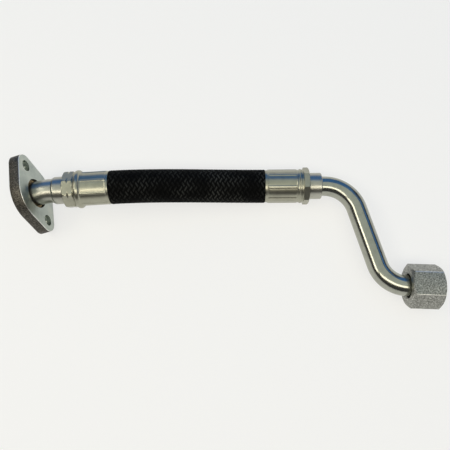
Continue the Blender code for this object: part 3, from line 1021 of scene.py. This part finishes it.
def chamfer_cones():
    drop = CHAMFER_REACH * CHAMFER_SLOPE
    rim = [
        (FRONT_CHAMFER_R, 0.0),
        (FRONT_CHAMFER_R + CHAMFER_REACH, drop),
        (REAR_CHAMFER_R + CHAMFER_REACH, NUT_LEN - drop),
        (REAR_CHAMFER_R, NUT_LEN),
    ]
    return turned([(0.0, 0.0), *rim, (0.0, NUT_LEN)], 144, closed=False)


def nut_bore():
    """The room inside: tube hole, inner cone for the sleeve, thread and mouth."""
    tube_hole = [(10.3, -1.0), (10.3, 0.0), (9.3, 1.0), (9.3, 5.6)]
    room = [(11.2, 7.5), (12.0, 7.9), (12.0, 23.0), (12.3, 24.0), (12.3, 25.0)]
    return turned([(0.0, -1.0), *tube_hole, *room, (0.0, 25.0)], closed=False)


steps_of_nut = [("INTERSECT", chamfer_cones()), ("DIFFERENCE", nut_bore())]
nut = carved(hex_bar(), steps_of_nut, NUT_MATS)
finish_piece("loose_nut", nut, NUT_MATS, FRAME_N, "nut", ["union_nut"], 20.0)

# %% [markdown]
# ## The thread
# A thread is a helix: one tooth profile is spun several turns while it climbs by the pitch. The spin
# operator does both at once with its dvec.

# %% Thread turns
PITCH = 1.5
THREAD_STEPS = 60
TURNS = 9
THREAD_FROM = 8.7
thread = bmesh.new()
tooth = [(12.15, -0.62), (11.2, -0.14), (11.2, 0.14), (12.15, 0.62)]
verts = [thread.verts.new((r * MM, 0.0, (THREAD_FROM + z) * MM)) for r, z in tooth]
for i, vert in enumerate(verts):
    thread.edges.new((vert, verts[(i + 1) % len(verts)]))
bmesh.ops.spin(
    thread,
    geom=thread.verts[:] + thread.edges[:],
    cent=(0.0, 0.0, 0.0),
    axis=(0.0, 0.0, 1.0),
    dvec=(0.0, 0.0, PITCH / THREAD_STEPS * MM),
    angle=math.tau * TURNS,
    steps=THREAD_STEPS * TURNS,
    use_merge=False,
)
bmesh.ops.holes_fill(thread, edges=[edge for edge in thread.edges if edge.is_boundary])
finish_piece("nut_thread", thread, [NUT_GRAIN], FRAME_N, "nut", [])

# %% [markdown]
# ## The hose
# The hose lies straight inside each ferrule and in a soft curve between them. The curve is the same
# as in the solids: it leaves both ferrules along their own headings. It is kept as a row of points
# with the length run so far, so that any place on the hose can be found by its run.

# %% The hose's centreline
HOSE_FROM = 15.6
GRIP_A = END_A
HOSE_END_B = 16.6
GRIP_B = END_B
CURVE_STEPS = 60
LOOK_ASIDE = 0.3


def hose_points():
    p0 = COLLAR_A + LINE_A * GRIP_A
    p1 = COLLAR_B + LINE_B * GRIP_B
    pull = (p1 - p0).length
    points = [COLLAR_A + LINE_A * HOSE_FROM, p0]
    for i in range(1, CURVE_STEPS):
        t = i / CURVE_STEPS
        points.append(
            p0 * (2 * t**3 - 3 * t**2 + 1)
            + LINE_A * pull * (t**3 - 2 * t**2 + t)
            + p1 * (-2 * t**3 + 3 * t**2)
            - LINE_B * pull * (t**3 - t**2)
        )
    points += [p1, COLLAR_B + LINE_B * HOSE_END_B]
    return points


ROUTE = hose_points()
RUNS = [0.0]
for a, b in zip(ROUTE, ROUTE[1:]):
    RUNS.append(RUNS[-1] + (b - a).length)
HOSE_LEN = RUNS[-1]
HELD_A = GRIP_A - HOSE_FROM
HELD_B = HOSE_LEN - (GRIP_B - HOSE_END_B)
print("hose", round(HOSE_LEN, 1), "mm, of which", round(HELD_B - HELD_A, 1), "mm shows")


def route_at(run):
    run = min(max(run, 0.0), HOSE_LEN)
    i = 0
    while i < len(RUNS) - 2 and RUNS[i + 1] < run:
        i += 1
    return ROUTE[i].lerp(ROUTE[i + 1], (run - RUNS[i]) / (RUNS[i + 1] - RUNS[i]))


def route_frame(run):
    forward = route_at(run + LOOK_ASIDE) - route_at(run - LOOK_ASIDE)
    return frame_at(route_at(run), forward)


# %% [markdown]
# ## The braid's relief
# A braid is two sets of strands that wind round the hose in opposite turns and pass over and under
# each other. A ring is extruded into a long, fine and straight tube, which gets its UV map while it
# is still straight. Then each point is lifted by the braid's height at its run and turn, and carried
# over to the curve. Where the ferrules hold the hose it is pressed thinner and stays smooth.

# %% The braid's relief
BRAID_LIFT = 0.3
AROUND = 240
ALONG = 380
START_R = 10.0
HELD_R = 11.9
SWELL = 1.7
SWELL_EDGE = 0.4
RELIEF_EDGE = 0.2
MARGIN = 2.0
CROWN_SHAPE = 0.6
DIP_MID = 0.55
DIP_SWING = 0.45


def braid_height(run, turn):
    """Height of the over and under braid, from 0 in the hollows to 1 on the crowns."""
    left = (turn / math.tau + run / BRAID_PITCH) * STRANDS
    right = (turn / math.tau - run / BRAID_PITCH) * STRANDS
    a = left - math.floor(left)
    b = right - math.floor(right)
    over = 1 if (math.floor(left) + math.floor(right)) % 2 else -1
    crown_a = math.sin(math.pi * a) ** CROWN_SHAPE
    crown_b = math.sin(math.pi * b) ** CROWN_SHAPE
    dip_a = DIP_MID + DIP_SWING * math.cos(math.tau * (b - 0.5)) * over
    dip_b = DIP_MID + DIP_SWING * math.cos(math.tau * (a - 0.5)) * -over
    return max(crown_a * dip_a, crown_b * dip_b)


def hose_radius(run):
    if run < HELD_A - SWELL_EDGE or run > HELD_B + SWELL_EDGE:
        return HELD_R
    edge = min(run - HELD_A + SWELL_EDGE, HELD_B + SWELL_EDGE - run)
    t = min(1.0, edge)
    return HELD_R + SWELL * t * (2 - t)


cover = bmesh.new()
bmesh.ops.create_circle(cover, segments=AROUND, radius=START_R * MM)
edges = cover.edges[:]
SHOWN_FROM = HELD_A - MARGIN
SHOWN_TO = HELD_B + MARGIN
step = (SHOWN_TO - SHOWN_FROM) / ALONG
stations = [0.0] + [SHOWN_FROM + step * i for i in range(ALONG + 1)] + [HOSE_LEN]
for low, high in zip(stations, stations[1:]):
    edges = pull_ring(cover, edges, (0.0, 0.0, (high - low) * MM))[0]
wrap = cover.loops.layers.uv.new("braid")
for face in cover.faces:
    middle = face.calc_center_median()
    side = math.atan2(middle.y, middle.x) / math.tau
    for loop in face.loops:
        turn = math.atan2(loop.vert.co.y, loop.vert.co.x) / math.tau
        turn += round(side - turn)
        loop[wrap].uv = (turn, loop.vert.co.z)
frames = {}
for vert in cover.verts:
    run = round(vert.co.z / MM, 4)
    turn = math.atan2(vert.co.y, vert.co.x)
    if run not in frames:
        frames[run] = route_frame(run)
    shows = HELD_A - RELIEF_EDGE < run < HELD_B + RELIEF_EDGE
    lift = (braid_height(run, turn) - 1.0) * BRAID_LIFT if shows else -BRAID_LIFT
    radius = (hose_radius(run) + lift) * MM
    vert.co = frames[run] @ Vector((radius * math.cos(turn), radius * math.sin(turn), 0.0))
print("the braid has", len(cover.verts), "points in", len(frames), "rings")

# %% [markdown]
# ## Closing the hose's ends
# So far the braid is a skin without a wall. At each end its rim is extruded and drawn in to the bore,
# and the two small rims are bridged with one long band. That band is cut into short lengths, and the
# new points are moved from the straight line between the ends to the hose's curve.


# %% Closing the hose's ends
COVER_BORE_R = 10.7
BORE_CUTS = 30
LONG_EDGE = 100.0
END_REACH = 16.0


def near_run(edge, run):
    return (edge.verts[0].co - route_at(run) * MM).length < END_REACH * MM


def draw_in(shape, bore_r):
    """Extrudes the rim at each end and draws it in to the bore; returns the open rims."""
    for run in (0.0, HOSE_LEN):
        rim_edges = [e for e in shape.edges if e.is_boundary and near_run(e, run)]
        grown = bmesh.ops.extrude_edge_only(shape, edges=rim_edges)["geom"]
        centre = route_at(run) * MM
        for vert in only(grown, VERT):
            vert.co = centre + (vert.co - centre) * (bore_r * MM / (vert.co - centre).length)
    return [e for e in shape.edges if e.is_boundary]


bmesh.ops.bridge_loops(cover, edges=draw_in(cover, COVER_BORE_R))
inner_long = [e for e in cover.edges if e.calc_length() > LONG_EDGE * MM]
cuts = bmesh.ops.subdivide_edges(cover, edges=inner_long, cuts=BORE_CUTS)["geom_inner"]
start = route_at(0.0) * MM
end = route_at(HOSE_LEN) * MM
for vert in dict.fromkeys(only(cuts, VERT)):
    along = (vert.co - start).dot((end - start).normalized()) / (end - start).length
    straight = start.lerp(end, along)
    vert.co += route_at(along * HOSE_LEN) * MM - straight
YARN = [BRAID_YARN]
finish_piece("braided_cover", cover, YARN, AS_IS, "line", ["hose_braid"], 180.0)

# %% [markdown]
# ## The floor
# The line lies on a plain pale floor. To show it white without more light on the metal, a share of
# plain white paper is mixed in for rays that come from the camera, from a reflection or through
# glass. The rest is an ordinary matt floor, which keeps the soft shadow.

# %% Floor
FLOOR_HALF = 15.0
FLOOR_HEIGHT = -0.0003
PAPER_SHARE = 0.68
FLOOR_MAT, floor_tree, floor_shader = new_material("pale_floor", 0.0, 0.9, (0.93, 0.92, 0.86))
paper = floor_tree.nodes.new("ShaderNodeEmission")
paper.inputs["Color"].default_value = (1.0, 0.995, 0.98, 1.0)
paper.inputs["Strength"].default_value = 1.0
rays = floor_tree.nodes.new("ShaderNodeLightPath")
seen = sums(floor_tree, "ADD", rays.outputs["Is Camera Ray"], rays.outputs["Is Glossy Ray"])
seen = sums(floor_tree, "ADD", seen, rays.outputs["Is Transmission Ray"])
share = sums(floor_tree, "MULTIPLY", seen, PAPER_SHARE)
blend = floor_tree.nodes.new("ShaderNodeMixShader")
floor_out = floor_tree.nodes["Material Output"]
floor_tree.links.new(share, blend.inputs["Fac"])
floor_tree.links.new(floor_shader.outputs["BSDF"], blend.inputs[1])
floor_tree.links.new(paper.outputs["Emission"], blend.inputs[2])
floor_tree.links.new(blend.outputs["Shader"], floor_out.inputs["Surface"])
floor_place = Matrix.Translation((0.0, 0.0, FLOOR_HEIGHT))
grid = bmesh.new()
bmesh.ops.create_grid(grid, x_segments=1, y_segments=1, size=FLOOR_HALF, matrix=floor_place)
floor = as_object("floor", grid)
floor.data.materials.append(FLOOR_MAT)
print("floor with", PAPER_SHARE, "of plain white")

# %% [markdown]
# ## The backdrop
# Shiny metal shows whatever stands round it. A low round wall far away, of the same paper as the
# floor, gives it a bright horizon, and leaves the space above for the lamps.

# %% Backdrop
WALL_R = 7.0
WALL_HEIGHT = 1.0
WALL_CENTRE = 0.49
hoop = bmesh.new()
bmesh.ops.create_cone(
    hoop,
    cap_ends=False,
    segments=96,
    radius1=WALL_R,
    radius2=WALL_R,
    depth=WALL_HEIGHT,
    matrix=Matrix.Translation((0.0, 0.0, WALL_CENTRE)),
)
wall = as_object("backdrop", hoop)
wall.data.materials.append(FLOOR_MAT)
print("backdrop", WALL_HEIGHT, "m high at", WALL_R, "m")

# %% [markdown]
# ## The lamps
# A wide lamp overhead lights the whole line softly. Two long warm strips draw the cream lines along
# the metal, one in front of the line and one at its flange end. Two blue panels, one behind the line
# and one at its nut end, stand for an open sky and give the metal its blue bands.


# %% Lamps
def soft_lamp(name, place, target, size, power, colour):
    data = bpy.data.lights.new(name, "AREA")
    data.shape = "RECTANGLE"
    data.size = size[0]
    data.size_y = size[1]
    data.energy = power
    data.color = colour
    lamp = bpy.data.objects.new(name, data)
    bpy.context.scene.collection.objects.link(lamp)
    lamp.location = place
    lamp.rotation_euler = (Vector(target) - Vector(place)).to_track_quat("-Z", "Y").to_euler()
    print("lamp", name, power, "W")


DAYLIGHT = (0.93, 1.0, 0.93)
WARM = (1.0, 0.94, 0.8)
SKY_BLUE = (0.03, 0.33, 1.0)
soft_lamp("ceiling", (0.1, 0.15, 1.2), (0.1, 0.15, 0.0), (2.0, 1.15), 4.7, DAYLIGHT)
soft_lamp("strip_along", (0.05, -0.58, 1.1), (0.05, 0.0, 0.0), (1.6, 0.32), 6.0, WARM)
soft_lamp("strip_across", (-0.78, -0.02, 0.86), (0.1, 0.0, 0.0), (0.8, 0.26), 3.0, WARM)
soft_lamp("sky_behind", (0.0, 1.15, 0.8), (0.0, 0.0, 0.1), (2.4, 1.3), 4.6, SKY_BLUE)
soft_lamp("sky_beside", (1.2, 0.1, 0.75), (0.1, 0.0, 0.0), (1.4, 0.34), 1.0, SKY_BLUE)

# %% [markdown]
# ## The world
# A faint, slightly cool world fills what no lamp reaches. The view transform is Standard, so that a
# colour renders about as it is written.

# %% World
WORLD_STRENGTH = 0.07
world = bpy.data.worlds.new("studio")
bpy.context.scene.world = world
world.use_nodes = True
background = world.node_tree.nodes["Background"]
background.inputs["Color"].default_value = (0.95, 0.96, 1.0, 1.0)
background.inputs["Strength"].default_value = WORLD_STRENGTH
bpy.context.scene.view_settings.view_transform = "Standard"
print("world strength", WORLD_STRENGTH)
